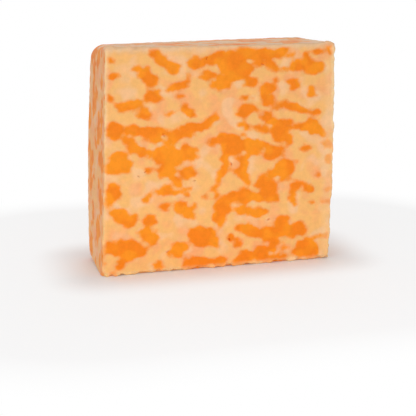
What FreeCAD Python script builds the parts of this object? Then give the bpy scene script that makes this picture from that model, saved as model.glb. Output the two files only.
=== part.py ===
"""A block of marbled Colby Jack cheese, hand-cut from a larger pressed block, standing on its narrow side.

The broad front is a fresh wire cut: flat, with crisp edges.  The broad back was the wall of the press
mould: its edges are rounded, and so are the four corners that run up to it.  The sides swell a little
towards the mould wall, and the upper left corner of the cut leans in.  The foot is planed flat, so the
block stands by itself.  Small openings, where the curds did not knit, show on the faces, and the crisp
edges of the cut have lost a few crumbs.

Frame: X along the cut face, Y into the block's depth (the cut face looks along -Y), Z up.
Origin: centre of the foot's box, on the surface that the block stands on.  Lengths are in millimetres.
"""

import FreeCAD, Part
import math
import os
from types import SimpleNamespace

import Sketcher

# Driving sizes: alias, value in mm, meaning.
SIZES = [
    ("foot_width", 190.0, "width of the cut face at the foot"),
    ("block_height", 178.0, "height, the full height of the large block that this one was cut from"),
    ("block_depth", 61.0, "depth, from the cut face to the mould face"),
    ("top_lean", 7.0, "how far the upper left corner of the cut face leans in"),
    ("cut_swell", 0.4, "swell of the left side and the underside along the cut face"),
    ("right_swell", 1.8, "swell of the right side along the cut face"),
    ("top_swell", 0.5, "swell of the top"),
    ("mould_flare", 2.4, "how far the mould face reaches beyond the cut face on each side"),
    ("mould_lean", 5.6, "how far the upper corners of the mould face lean in"),
    ("mould_drop", 2.0, "how much lower the mould face is at its upper left corner"),
    ("mould_rise", 1.5, "how much higher the mould face is at its upper right corner"),
    ("mould_swell", 2.2, "swell of the two sides and the underside along the mould face"),
    ("mould_edge", 11.0, "rounding between the sides and the mould face"),
    ("mould_corner_gain", 2.0, "how much larger than that the corner radius is at the mould face"),
    ("cut_wear", 0.9, "rounding of the crisp edges around the cut face"),
    ("cut_corner_gain", 0.7, "how much larger than that the corner radius is at the cut face"),
    ("foot_trim", 3.0, "thickness planed off the underside to make the foot"),
    ("opening_length", 3.0, "length of a typical opening between curds"),
    ("opening_width", 1.2, "width of a typical opening"),
    ("opening_depth", 1.4, "depth of a typical opening"),
    ("crumb_length", 3.6, "length of a crumb lost from an edge of the cut"),
    ("crumb_depth", 1.3, "how deep such a crumb bites into the edge"),
]

# Openings on the two broad faces: face, share of the width from the middle, share of the height, size
# compared with a typical opening, turn in degrees.
FACE_OPENINGS = [
    ("cut", -0.234, 0.618, 1.2, 40.0),
    ("cut", -0.311, 0.463, 0.9, -35.0),
    ("cut", -0.340, 0.443, 0.8, 50.0),
    ("cut", 0.183, 0.910, 0.9, 20.0),
    ("cut", -0.054, 0.942, 0.7, -60.0),
    ("cut", 0.052, 0.475, 1.0, 75.0),
    ("cut", -0.107, 0.410, 0.8, 10.0),
    ("cut", 0.220, 0.208, 1.0, -25.0),
    ("cut", 0.047, 0.128, 0.9, 60.0),
    ("cut", -0.223, 0.094, 0.9, -35.0),
    ("mould", 0.300, 0.700, 0.9, 15.0),
    ("mould", 0.060, 0.420, 1.1, -50.0),
    ("mould", -0.210, 0.810, 0.8, 70.0),
    ("mould", -0.320, 0.260, 1.0, 30.0),
    ("mould", 0.250, 0.190, 0.8, -20.0),
]
# Openings half-way along the other sides: side, share along it, size, turn in degrees.
SIDE_OPENINGS = [
    ("left", 0.36, 1.0, 65.0),
    ("left", 0.72, 0.8, -30.0),
    ("right", 0.28, 0.9, 20.0),
    ("right", 0.61, 1.1, -70.0),
    ("top", 0.28, 1.0, 35.0),
    ("top", 0.77, 0.8, -15.0),
]
# Crumbs lost from the edges of the cut: edge, share along it, size compared with a typical crumb.
CRUMBS = [
    ("top", 0.11, 1.0),
    ("top", 0.61, 0.7),
    ("top", 0.88, 0.8),
    ("right", 0.79, 0.9),
    ("right", 0.34, 0.7),
    ("left", 0.56, 0.8),
    ("foot", 0.32, 1.1),
    ("foot", 0.71, 0.8),
    ("foot", 0.90, 1.0),
]

# The crisp edges of the cut and the mould edge are rounded in this many steps of a quarter turn.
WEAR_STEPS = 3
ROUNDING_STEPS = 8
# An edge this close to a place lies at it.
SAME_PLACE = 0.01
# The wedges that bite out openings and crumbs start this share of their depth off the face.
OFF_FACE = 0.25
# At its bottom a wedge is this share as long, and this share as wide, as at its mouth.
BOTTOM_LENGTH = 0.45
BOTTOM_WIDTH = 0.15


class Bound(float):
    """A number that remembers the spreadsheet expression which gives it."""

    def __new__(cls, number, text=None):
        bound = super().__new__(cls, number)
        bound.text = text or f"({float(number):.12g})"
        return bound

    def _join(self, sign, other, number):
        return Bound(number, f"({self.text} {sign} {Bound(other, getattr(other, 'text', None)).text})")

    def __add__(self, other):
        return self._join("+", other, float(self) + float(other))

    def __sub__(self, other):
        return self._join("-", other, float(self) - float(other))

    def __mul__(self, other):
        return self._join("*", other, float(self) * float(other))

    __radd__ = __add__
    __rmul__ = __mul__

    def __truediv__(self, other):
        return self._join("/", other, float(self) / float(other))

    def __neg__(self):
        return self * -1


def make_sizes(document):
    """Spreadsheet with one driving size a row; returns the sizes by alias."""
    sheet = document.addObject("Spreadsheet::Sheet", "sizes")
    for row, (alias, number, meaning) in enumerate(SIZES, start=1):
        sheet.set(f"A{row}", meaning)
        sheet.set(f"B{row}", str(number))
        sheet.setAlias(f"B{row}", alias)
    document.recompute()
    return SimpleNamespace(
        **{alias: Bound(sheet.get(alias), f"sizes.{alias}") for alias, _, _ in SIZES}
    )


def bind(thing, path, bound):
    """Drive one property of an object by the spreadsheet."""
    thing.setExpression(path, bound.text)


# ---------------------------------------------------------------------------------------------------
# Cross-sections: rounded quadrilaterals whose sides swell outwards.
# ---------------------------------------------------------------------------------------------------
class Section:
    """One cross-section: its corner arcs' centres and radius, and the swell of the side after each."""

    def __init__(self, centres, radius, swells):
        self.centres = centres
        self.radius = radius
        self.swells = swells

    @classmethod
    def around(cls, corners, radius, swells):
        """Section with its sharp corners given, counterclockwise from the lower left."""
        inward = [(1, 1), (-1, 1), (-1, -1), (1, -1)]
        centres = [
            (x + radius * right, z + radius * up) for (x, z), (right, up) in zip(corners, inward)
        ]
        return cls(centres, radius, swells)

    def towards(self, other, share, drawn_in):
        """Section some share of the way to another one, and drawn in all round."""

        def blend(here, there):
            return here + (there - here) * share

        return Section(
            [
                (blend(xa, xb), blend(za, zb))
                for (xa, za), (xb, zb) in zip(self.centres, other.centres)
            ],
            blend(self.radius, other.radius) - drawn_in,
            [blend(here, there) for here, there in zip(self.swells, other.swells)],
        )

    def side_radius(self, i):
        """Radius of the swelling side that runs from corner i to the next."""
        (xa, za), (xb, zb) = self.centres[i], self.centres[(i + 1) % 4]
        chord_squared = (xb - xa) * (xb - xa) + (zb - za) * (zb - za)
        return chord_squared / (self.swells[i] * 8) + self.swells[i] / 2 + self.radius


def cut_section(sizes):
    """Section that the block would have at the cut face, if its edge there weren't worn."""
    edge, under, top = sizes.foot_width / 2, -sizes.foot_trim, sizes.block_height
    corners = [(-edge, under), (edge, under), (edge, top), (sizes.top_lean - edge, top)]
    swells = [sizes.cut_swell, sizes.right_swell, sizes.top_swell, sizes.cut_swell]
    return Section.around(corners, sizes.cut_wear + sizes.cut_corner_gain, swells)


def mould_section(sizes):
    """Section that the block would have at the mould face, if its edge there weren't rounded."""
    edge = sizes.foot_width / 2 + sizes.mould_flare
    under, upper_edge = -sizes.foot_trim, edge - sizes.mould_lean
    corners = [
        (-edge, under),
        (edge, under),
        (upper_edge, sizes.block_height + sizes.mould_rise),
        (-upper_edge, sizes.block_height - sizes.mould_drop),
    ]
    swells = [sizes.mould_swell, sizes.mould_swell, sizes.top_swell, sizes.mould_swell]
    return Section.around(corners, sizes.mould_edge + sizes.mould_corner_gain, swells)


def quarter_round(radius, steps):
    """Distance from the end face and drawing in, for each step of a rounded edge, end face first."""
    for step in range(steps + 1):
        turn = math.radians(90) * (1 - step / steps)
        yield radius * (1 - math.sin(turn)), radius * (1 - math.cos(turn))


def stations(sizes):
    """Depth behind the cut face, and section, of each sketch that the block is lofted through."""
    cut, mould = cut_section(sizes), mould_section(sizes)
    worn = list(quarter_round(sizes.cut_wear, WEAR_STEPS))
    rounded = list(quarter_round(sizes.mould_edge, ROUNDING_STEPS))
    places = worn + [(sizes.block_depth - behind, drawn_in) for behind, drawn_in in rounded[::-1]]
    return [
        (depth, cut.towards(mould, depth / sizes.block_depth, drawn_in))
        for depth, drawn_in in places
    ]


def arc(centre, radius, start_ray, end_ray):
    """Arc about a centre, counterclockwise from one ray to the next."""
    first = math.atan2(start_ray.y, start_ray.x)
    last = math.atan2(end_ray.y, end_ray.x)
    if last < first:
        last += 2 * math.pi
    return Part.ArcOfCircle(Part.Circle(centre, FreeCAD.Vector(0, 0, 1), radius), first, last)


def outline(section):
    """The section's eight arcs: corner i is number 2i, and the side that follows it is number 2i + 1."""
    corners = [FreeCAD.Vector(x, z, 0) for x, z in section.centres]
    middles = []
    for i, start in enumerate(corners):
        chord = corners[(i + 1) % 4] - start
        inward = FreeCAD.Vector(-chord.y, chord.x, 0).normalize()
        away = math.sqrt((section.side_radius(i) - section.radius) ** 2 - (chord.Length / 2) ** 2)
        middles.append(start + chord * 0.5 + inward * away)
    arcs = []
    for i, corner in enumerate(corners):
        before, after = middles[i - 1], middles[i]
        following = corners[(i + 1) % 4]
        arcs.append(arc(corner, section.radius, corner - before, corner - after))
        arcs.append(arc(after, section.side_radius(i), corner - after, following - after))
    return arcs


def origin_plane(body, role):
    """One of the body's three base planes."""
    return next(feature for feature in body.Origin.OriginFeatures if feature.Role == role)


def new_sketch(body, name, role):
    """Empty sketch on one of the body's base planes."""
    sketch = body.newObject("Sketcher::SketchObject", name)
    sketch.AttachmentSupport = [(origin_plane(body, role), "")]
    sketch.MapMode = "FlatFace"
    return sketch


def constrain(sketch, kind, references, bound):
    """Dimension of a sketch that the spreadsheet drives."""
    index = sketch.addConstraint(Sketcher.Constraint(kind, *references, float(bound)))
    bind(sketch, f"Constraints[{index}]", bound)


def make_section(body, name, section, middle_to_front):
    """Fully constrained sketch of one cross-section, placed by its distance from the middle."""
    sketch = new_sketch(body, name, "XZ_Plane")
    bind(sketch, "AttachmentOffset.Base.z", middle_to_front)
    for piece in outline(section):
        sketch.addGeometry(piece)
    for i, (x, z) in enumerate(section.centres):
        corner, side, following = 2 * i, 2 * i + 1, (2 * i + 2) % 8
        sketch.addConstraint(Sketcher.Constraint("Tangent", corner, 2, side, 1))
        sketch.addConstraint(Sketcher.Constraint("Tangent", side, 2, following, 1))
        constrain(sketch, "DistanceX", (-1, 1, corner, 3), x)
        constrain(sketch, "DistanceY", (-1, 1, corner, 3), z)
        constrain(sketch, "Radius", (corner,), section.radius)
        constrain(sketch, "Radius", (side,), section.side_radius(i))
    return sketch


# ---------------------------------------------------------------------------------------------------
# The block without its openings: loft, planed foot, worn edges of the cut.
# ---------------------------------------------------------------------------------------------------
def foot_edge(shape, depth):
    """Name of the foot's edge at one depth."""
    return next(
        f"Edge{number}"
        for number, edge in enumerate(shape.Edges, start=1)
        if all(abs(end.Z) + abs(end.Y - depth) < SAME_PLACE for end in edge.Vertexes)
    )


def plane_foot(body, sizes):
    """Pocket that takes off everything below the surface the block stands on."""
    sketch = new_sketch(body, "foot_outline", "XY_Plane")
    half_width, half_depth = sizes.foot_width, sizes.block_depth
    corners = [(-1, -1), (1, -1), (1, 1), (-1, 1)]
    points = [FreeCAD.Vector(x * half_width, y * half_depth, 0) for x, y in corners]
    for i, point in enumerate(points):
        sketch.addGeometry(Part.LineSegment(point, points[(i + 1) % 4]))
    for i in range(4):
        sketch.addConstraint(Sketcher.Constraint("Coincident", i, 2, (i + 1) % 4, 1))
    for side in (0, 2):
        sketch.addConstraint(Sketcher.Constraint("Horizontal", side))
    for side in (1, 3):
        sketch.addConstraint(Sketcher.Constraint("Vertical", side))
    constrain(sketch, "DistanceX", (-1, 1, 1, 1), half_width)
    constrain(sketch, "DistanceY", (-1, 1, 1, 2), half_depth)
    constrain(sketch, "DistanceX", (0, 1, 0, 2), half_width * 2)
    constrain(sketch, "DistanceY", (1, 1, 1, 2), half_depth * 2)
    pocket = body.newObject("PartDesign::Pocket", "planed_foot")
    pocket.Profile = (sketch, [""])
    bind(pocket, "Length", sizes.foot_trim * 2)
    body.Document.recompute()
    return pocket


def make_block(document, sizes):
    """PartDesign body of the block without its openings."""
    body = document.addObject("PartDesign::Body", "block_body")
    sketches = [
        make_section(body, f"section_{number}", section, sizes.block_depth / 2 - depth)
        for number, (depth, section) in enumerate(stations(sizes))
    ]
    loft = body.newObject("PartDesign::AdditiveLoft", "pressed_block")
    # Lofted from the mould face forwards: the other way round, the solid comes out inside out.
    loft.Profile = (sketches[-1], [""])
    loft.Sections = [(sketch, [""]) for sketch in sketches[-2::-1]]
    loft.Ruled = True
    footed = plane_foot(body, sizes)
    worn = body.newObject("PartDesign::Chamfer", "worn_foot_edge")
    worn.Base = (footed, [foot_edge(footed.Shape, sizes.block_depth / -2)])
    bind(worn, "Size", sizes.cut_wear)
    document.recompute()
    return body


# ---------------------------------------------------------------------------------------------------
# Openings and lost crumbs: small wedges that bite into the surface, as angular as the curds around them.
# ---------------------------------------------------------------------------------------------------
INTO_CUT = FreeCAD.Rotation()
INTO_MOULD = FreeCAD.Rotation(FreeCAD.Vector(0, 0, 1), 180)
INTO_LEFT = FreeCAD.Rotation(FreeCAD.Vector(0, 0, 1), -90)
INTO_RIGHT = FreeCAD.Rotation(FreeCAD.Vector(0, 0, 1), 90)
INTO_TOP = FreeCAD.Rotation(FreeCAD.Vector(1, 0, 0), -90)


def make_bite(document, name, mouth, size, into, degrees):
    """Wedge that narrows along its own Y; mouth is the middle of its opening, on the surface."""
    length, depth, width = size
    bite = document.addObject("Part::Wedge", name)
    bite.Placement.Rotation = into * FreeCAD.Rotation(FreeCAD.Vector(0, 1, 0), degrees)
    for axis, bound in zip("xyz", mouth):
        bind(bite, f"Placement.Base.{axis}", bound)
    bind(bite, "Ymin", depth * -OFF_FACE)
    bind(bite, "Ymax", depth)
    for letter, mouth_size, bottom_share in (("X", length, BOTTOM_LENGTH), ("Z", width, BOTTOM_WIDTH)):
        bind(bite, f"{letter}min", mouth_size * -0.5)
        bind(bite, f"{letter}max", mouth_size * 0.5)
        bind(bite, f"{letter}2min", mouth_size * (-0.5 * bottom_share))
        bind(bite, f"{letter}2max", mouth_size * (0.5 * bottom_share))
    return bite


def side_surface(sizes, side, along, depth_share):
    """Point of a side's surface: a share along the side, at a share of the depth from the cut face."""

    def blend(at_cut, at_mould):
        return at_cut * (1 - depth_share) + at_mould * depth_share

    def swell(at_cut, at_mould):
        return blend(at_cut, at_mould) * (1 - (2 * along - 1) ** 2)

    half_width = sizes.foot_width / 2 + sizes.mould_flare * depth_share
    across, depth = sizes.foot_width * (along - 0.5), sizes.block_depth * (depth_share - 0.5)
    up = sizes.block_height * along
    if side == "left":
        lean = blend(sizes.top_lean, sizes.mould_lean) * along
        return lean - half_width - swell(sizes.cut_swell, sizes.mould_swell), depth, up
    if side == "right":
        lean = sizes.mould_lean * (depth_share * along)
        return half_width - lean + swell(sizes.right_swell, sizes.mould_swell), depth, up
    if side == "top":
        left, right = -sizes.mould_drop, sizes.mould_rise
        rise = (left * (1 - along) + right * along) * depth_share
        level = sizes.block_height + rise + swell(sizes.top_swell, sizes.top_swell)
        return across, depth, level
    return across, depth, Bound(0.0)


def opening_size(sizes, scale):
    """Length, depth and width of an opening."""
    return [bound * scale for bound in (sizes.opening_length, sizes.opening_depth, sizes.opening_width)]


def face_openings(document, sizes):
    """Openings on the cut face and on the mould face."""
    into = {"cut": INTO_CUT, "mould": INTO_MOULD}
    level = {"cut": sizes.block_depth / -2, "mould": sizes.block_depth / 2}
    return [
        make_bite(
            document,
            f"{face}_opening",
            (sizes.foot_width * across, level[face], sizes.block_height * up),
            opening_size(sizes, scale),
            into[face],
            degrees,
        )
        for face, across, up, scale, degrees in FACE_OPENINGS
    ]


def side_openings(document, sizes):
    """Openings half-way along the left, right and top sides."""
    into = {"left": INTO_LEFT, "right": INTO_RIGHT, "top": INTO_TOP}
    return [
        make_bite(
            document,
            f"{side}_opening",
            side_surface(sizes, side, along, 0.5),
            opening_size(sizes, scale),
            into[side],
            degrees,
        )
        for side, along, scale, degrees in SIDE_OPENINGS
    ]


def lost_crumbs(document, sizes):
    """Bites along the four edges of the cut face."""
    along_edge = {"top": 0, "foot": 0, "left": 90, "right": 90}
    bites = []
    for edge, along, scale in CRUMBS:
        depth = sizes.crumb_depth * scale
        size = (sizes.crumb_length * scale, depth, depth * 2)
        mouth = side_surface(sizes, edge, along, 0.0)
        bites.append(
            make_bite(document, f"{edge}_crumb", mouth, size, INTO_CUT, along_edge[edge])
        )
    return bites


def make_cheese(document, sizes):
    """The finished block: the body with its openings and lost crumbs bitten out."""
    body = make_block(document, sizes)
    bites = document.addObject("Part::Compound", "bites")
    bites.Links = (
        face_openings(document, sizes) + side_openings(document, sizes) + lost_crumbs(document, sizes)
    )
    cheese = document.addObject("Part::Cut", "cheese_block")
    cheese.Label = "cheese_block"
    cheese.Base = body
    cheese.Tool = bites
    document.recompute()
    return cheese


def check(document, cheese):
    """Stop the build if any object failed, or if the finished part is not one sound solid."""
    for thing in document.Objects:
        if "Invalid" in thing.State or "Error" in thing.State:
            raise RuntimeError(f"{thing.Label} did not recompute")
        shape = getattr(thing, "Shape", None)
        if shape is not None and not thing.isDerivedFrom("App::OriginFeature"):
            if shape.isNull() or not shape.isValid():
                raise RuntimeError(f"{thing.Label} has no valid shape")
    if len(cheese.Shape.Solids) != 1:
        raise RuntimeError(f"{cheese.Label} is not one solid")


document = FreeCAD.newDocument("colby_jack")
sizes = make_sizes(document)
cheese = make_cheese(document, sizes)
check(document, cheese)
os.makedirs("parts", exist_ok=True)
cheese.Shape.exportStep(f"parts/{cheese.Label}.step")
print(f"{cheese.Label}: {cheese.Shape.Volume / 1e6:.3f} litres, {len(cheese.Shape.Faces)} faces")
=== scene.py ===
# %% [markdown]
# # A block of marbled Colby Jack
#
# The object is one hand-cut block of marbled cheese that stands on its narrow side.  It is pressed from
# two sorts of curd: pieces coloured with annatto and pieces left pale.  The broad front is a fresh wire
# cut, so the pressed curds show there as angular patches, and its edges are crisp.  The back was the
# wall of the press mould, and its edges are rounded.
#
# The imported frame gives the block's outline.  This script dresses it: it lays a fine, even skin over that
# outline, wears it a little, opens the small gaps between curds, and grows the marbling from the curds
# themselves.  All lengths are in metres, in the same frame as the frame's nodes.

# %% Load the frame
import math

import bmesh
import bpy
import numpy as np
from mathutils import Matrix, Vector
from mathutils.bvhtree import BVHTree


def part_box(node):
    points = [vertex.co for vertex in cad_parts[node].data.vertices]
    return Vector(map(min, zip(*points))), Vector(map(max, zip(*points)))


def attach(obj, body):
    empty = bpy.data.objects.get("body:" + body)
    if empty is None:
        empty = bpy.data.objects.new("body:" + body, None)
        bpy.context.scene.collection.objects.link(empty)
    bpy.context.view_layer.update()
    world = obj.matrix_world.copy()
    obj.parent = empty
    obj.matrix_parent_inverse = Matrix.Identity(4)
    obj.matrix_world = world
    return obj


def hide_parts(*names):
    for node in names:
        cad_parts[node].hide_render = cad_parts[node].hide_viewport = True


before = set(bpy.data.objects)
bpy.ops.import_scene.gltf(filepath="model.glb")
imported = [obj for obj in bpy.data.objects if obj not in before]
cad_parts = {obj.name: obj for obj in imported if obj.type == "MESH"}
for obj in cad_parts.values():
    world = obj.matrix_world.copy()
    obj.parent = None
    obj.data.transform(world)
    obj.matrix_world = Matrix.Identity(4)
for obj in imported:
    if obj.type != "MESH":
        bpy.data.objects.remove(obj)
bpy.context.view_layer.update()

MM = 0.001
NODE = "cheese_block"
low, high = (np.array(corner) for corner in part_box(NODE))
middle = (low + high) / 2
print("block, mm:", ((high - low) / MM).round(1))

# %% [markdown]
# ## Feeling for the outline
#
# The frame's block is a convex body with a few small gaps and lost crumbs bitten out of it.  The skin
# should follow the body and not fall into the gaps, which come later at their own, finer size.  Each gap
# could be filled on its own, but a convex hull closes them all at once, and a ray that starts inside it
# finds the outline in any direction.

# %% A convex hull that closes the gaps
SAME_SPOT = 0.001 * MM  # vertices nearer than this are one

hull = bmesh.new()
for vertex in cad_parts[NODE].data.vertices:
    hull.verts.new(vertex.co)
bmesh.ops.remove_doubles(hull, verts=hull.verts, dist=SAME_SPOT)
wrapped = bmesh.ops.convex_hull(hull, input=hull.verts, use_existing_faces=False)
inner = [part for part in wrapped["geom_interior"] if isinstance(part, bmesh.types.BMVert)]
bmesh.ops.delete(hull, geom=inner, context="VERTS")
outline = BVHTree.FromBMesh(hull)
print("outline:", len(hull.faces), "faces")


def feel(start, direction):
    """The point of the outline that lies in a direction from a point inside."""
    return np.array(outline.ray_cast(Vector(start), Vector(direction))[0])


# %% [markdown]
# ## A skin of even squares
#
# The marbling is worked out for each vertex, so the skin needs vertices about a millimetre apart, and
# closer together along the crisp edges, where the wear shows.  A remesh would give even squares too, but
# it rounds crisp edges.  A box whose faces are grids keeps them if its edges lie exactly on the block's
# edges.  So the eight corners are felt for first, then the twelve edges between them, and last the faces,
# each inside its own four edges.

# %% Places of the grid lines
FINEST, COARSEST = 0.45 * MM, 1.16 * MM
GROWTH = 1.25  # each square is wider by this factor than its neighbour nearer the edge


def line_places(length):
    """Shares of a length at which grid lines lie, closer together towards both ends."""
    end = [0.0]
    step = FINEST
    while step < COARSEST:
        end.append(end[-1] + step)
        step *= GROWTH
    between = length - 2 * end[-1]
    count = math.ceil(between / COARSEST)
    inside = [end[-1] + between * i / count for i in range(1, count)]
    places = end + inside + [length - place for place in reversed(end)]
    return np.array(places) / length


shares = [line_places(length) for length in high - low]
last = [len(places) - 1 for places in shares]
print("grid lines along x, y and z:", [n + 1 for n in last])

# %% Feeling for a corner or an edge
UNDER_SKIN = 14 * MM  # deeper than the mould edge's rounding


def inside(point):
    """The nearest point of the box that lies one depth inside the block's own box."""
    return np.clip(point, low + UNDER_SKIN, high - UNDER_SKIN)


def outermost(point, signs):
    """The point of the outline half-way round the edge or corner where the sides that signs name meet."""
    signs = np.array(signs)
    start = inside(np.where(signs < 0, low, np.where(signs > 0, high, point)))
    for axis in np.flatnonzero(signs):
        centre, direction = start.copy(), np.zeros(3)
        centre[axis], direction[axis] = middle[axis], signs[axis]
        start[axis] = feel(centre, direction)[axis] - signs[axis] * UNDER_SKIN
    return feel(start, np.where(signs == 0, point - start, signs * UNDER_SKIN))


def index_of(axis, place, others, pair):
    """Grid index with one axis at a place and the two others at theirs."""
    index = [0, 0, 0]
    index[axis] = place
    for other, where in zip(others, pair):
        index[other] = where
    return tuple(index)


print("depth of the starting points, mm:", round(UNDER_SKIN / MM, 1))

# %% Corners and edges of the skin
skin_points = {}
for i in (0, last[0]):
    for j in (0, last[1]):
        for k in (0, last[2]):
            skin_points[i, j, k] = outermost(middle, [1 if n else -1 for n in (i, j, k)])

for axis in range(3):
    others = [n for n in range(3) if n != axis]
    for pair in [(a, b) for a in (0, last[others[0]]) for b in (0, last[others[1]])]:
        signs = index_of(axis, 0, others, [1 if where else -1 for where in pair])
        begin = skin_points[index_of(axis, 0, others, pair)]
        end = skin_points[index_of(axis, last[axis], others, pair)]
        for place in range(1, last[axis]):
            on_line = begin + (end - begin) * shares[axis][place]
            skin_points[index_of(axis, place, others, pair)] = outermost(on_line, signs)
print("vertices on corners and edges:", len(skin_points))

# %% Faces of the skin
def face_rim(axis, side, others, n, end):
    """One of a face's four edges, as an array that runs along the axis others[n]."""
    pairs = [(place, end) if n == 0 else (end, place) for place in range(last[others[n]] + 1)]
    points = np.array([skin_points[index_of(axis, side, others, pair)] for pair in pairs])
    return points[:, None] if n == 0 else points[None]


for axis in range(3):
    others = [n for n in range(3) if n != axis]
    u, v = shares[others[0]][:, None, None], shares[others[1]][None, :, None]
    for side in (0, last[axis]):
        near, far = (face_rim(axis, side, others, 0, end) for end in (0, last[others[1]]))
        left, right = (face_rim(axis, side, others, 1, end) for end in (0, last[others[0]]))
        patch = (1 - v) * near + v * far + (1 - u) * left + u * right
        patch -= (1 - v) * ((1 - u) * near[:1] + u * near[-1:]) + v * ((1 - u) * far[:1] + u * far[-1:])
        for a in range(1, last[others[0]]):
            for b in range(1, last[others[1]]):
                start = inside(patch[a, b])
                skin_points[index_of(axis, side, others, (a, b))] = feel(start, patch[a, b] - start)
print("skin:", len(skin_points), "vertices")

# %% Put the skin together
numbers = {index: number for number, index in enumerate(skin_points)}
squares = []
for axis in range(3):
    across, along = (axis + 1) % 3, (axis + 2) % 3
    for side in (0, last[axis]):
        for a in range(last[across]):
            for b in range(last[along]):
                ring = [(a, b), (a + 1, b), (a + 1, b + 1), (a, b + 1)]
                if not side:
                    ring.reverse()
                squares.append([numbers[index_of(axis, side, (across, along), pair)] for pair in ring])


def add_object(name, points, faces=(), edges=()):
    """Mesh object from plain lists, linked to the scene."""
    mesh = bpy.data.meshes.new(name)
    mesh.from_pydata([tuple(point) for point in points], list(edges), list(faces))
    made = bpy.data.objects.new(name, mesh)
    bpy.context.scene.collection.objects.link(made)
    return made


block = add_object("marbled_block", skin_points.values(), squares)
print("squares:", len(squares))

# %% A line along the crisp edge of the cut
ring = ([(i, 0, 0) for i in range(last[0])] + [(last[0], 0, k) for k in range(last[2])]
        + [(i, 0, last[2]) for i in range(last[0], 0, -1)] + [(0, 0, k) for k in range(last[2], 0, -1)])
cut_edge = add_object(
    "cut_edge", [skin_points[index] for index in ring],
    edges=[(n, (n + 1) % len(ring)) for n in range(len(ring))],
)
cut_edge.hide_render = True
print("cut edge:", len(ring), "points")

# %% [markdown]
# ## Writing node trees
#
# Every node tree here, for shape or for colour, is written as a chain of small calls.  One helper adds a
# node, sets its properties, feeds its inputs in order and hands back an output, so a tree reads like a
# sum.  The others are sums that come up often: a product, a smooth step, and a noise made to swing as far
# below zero as above it.  The same trees could be built by hand in the node editor, but a script can be
# read, changed and run again.

# %% Adding nodes
def add(tree, kind, *values, pick=0, **settings):
    """One of the outputs of a new node whose inputs, in order, are given sockets or plain values."""
    node = tree.nodes.new(kind)
    for name, value in settings.items():
        setattr(node, name, value)
    for socket, value in zip([socket for socket in node.inputs if socket.enabled], values):
        if isinstance(value, bpy.types.NodeSocket):
            tree.links.new(value, socket)
        elif value is not None:
            socket.default_value = value
    return [socket for socket in node.outputs if socket.enabled][pick]


def reckon(tree, operation, *values):
    """Output of a Math node."""
    return add(tree, "ShaderNodeMath", *values, operation=operation)


def vector_sum(tree, operation, *values):
    """Output of a Vector Math node."""
    return add(tree, "ShaderNodeVectorMath", *values, operation=operation)


def parts(tree, vector):
    """The x, y and z of a vector."""
    return [add(tree, "ShaderNodeSeparateXYZ", vector, pick=axis) for axis in range(3)]


print("helpers: add, reckon, vector_sum and parts")

# %% Sums that come up often
def product(tree, first, *rest):
    """Product of values, taken from left to right."""
    for value in rest:
        first = reckon(tree, "MULTIPLY", first, value)
    return first


def ramp(tree, value, start, end, first=0.0, then=1.0):
    """A smooth step between two values, as a value goes from a start to an end."""
    return add(tree, "ShaderNodeMapRange", value, start, end, first, then,
               interpolation_type="SMOOTHSTEP")


def behind_cut(tree, y, start, end, first=0.0, then=1.0):
    """A smooth step between two distances behind the cut."""
    return ramp(tree, y, low[1] + start, low[1] + end, first, then)


def below_top(tree, z, start, end, first=0.0, then=1.0):
    """A smooth step between two distances below the top."""
    return ramp(tree, z, high[2] - start, high[2] - end, first, then)


def swing(tree, value, amount):
    """A noise of 0 to 1, made to swing about zero, by half an amount each way."""
    return product(tree, reckon(tree, "SUBTRACT", value, 0.5), amount)


def swing_all_ways(tree, colour, amount):
    """A colour noise of 0 to 1, made a push that swings about zero in all three directions."""
    return vector_sum(tree, "SCALE", vector_sum(tree, "SUBTRACT", colour, (0.5, 0.5, 0.5)), amount)


def seeded_noise(tree, place, seed, length, detail, pick=0):
    """Noise whose features are about a length across, in a tree for shapes; pick 1 is its colour."""
    return add(tree, "ShaderNodeTexNoise", place, seed, reckon(tree, "DIVIDE", 1.0, length), detail,
               noise_dimensions="4D", pick=pick)


print("helpers: product, ramp, behind_cut, below_top, swing, swing_all_ways and seeded_noise")

# %% Trees for shapes
def shape_tree(name, **inputs):
    """Geometry node tree with named inputs; returns the tree and its inputs by name."""
    kinds = {"Geometry": "NodeSocketGeometry", float: "NodeSocketFloat", int: "NodeSocketInt",
             "Object": "NodeSocketObject", "Material": "NodeSocketMaterial"}
    tree = bpy.data.node_groups.new(name, "GeometryNodeTree")
    tree.interface.new_socket("Geometry", in_out="OUTPUT", socket_type="NodeSocketGeometry")
    tree.interface.new_socket("Geometry", in_out="INPUT", socket_type="NodeSocketGeometry")
    for label, value in inputs.items():
        kind = kinds[value] if isinstance(value, str) else kinds[type(value)]
        socket = tree.interface.new_socket(label, in_out="INPUT", socket_type=kind)
        if not isinstance(value, str):
            socket.default_value = value
    given = tree.nodes.new("NodeGroupInput")
    return tree, {socket.name: socket for socket in given.outputs if socket.name}


def end_tree(tree, geometry, material):
    """Ends a shape tree in Realize Instances and Set Material."""
    real = add(tree, "GeometryNodeRealizeInstances", geometry)
    painted = add(tree, "GeometryNodeSetMaterial", real, True, material)
    tree.links.new(painted, tree.nodes.new("NodeGroupOutput").inputs[0])


def apply_tree(thing, tree, **inputs):
    """Runs a shape tree on an object and keeps the result as its plain mesh."""
    modifier = thing.modifiers.new(tree.name, "NODES")
    modifier.node_group = tree
    for item in tree.interface.items_tree:
        if item.in_out == "INPUT" and item.name in inputs:
            modifier[item.identifier] = inputs[item.name]
    evaluated = thing.evaluated_get(bpy.context.evaluated_depsgraph_get())
    mesh = bpy.data.meshes.new_from_object(evaluated)
    thing.modifiers.remove(modifier)
    thing.data = mesh
    print(f"{tree.name}: {len(mesh.vertices)} vertices, {len(mesh.polygons)} faces")


print("helpers: shape_tree, end_tree and apply_tree")

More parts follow.
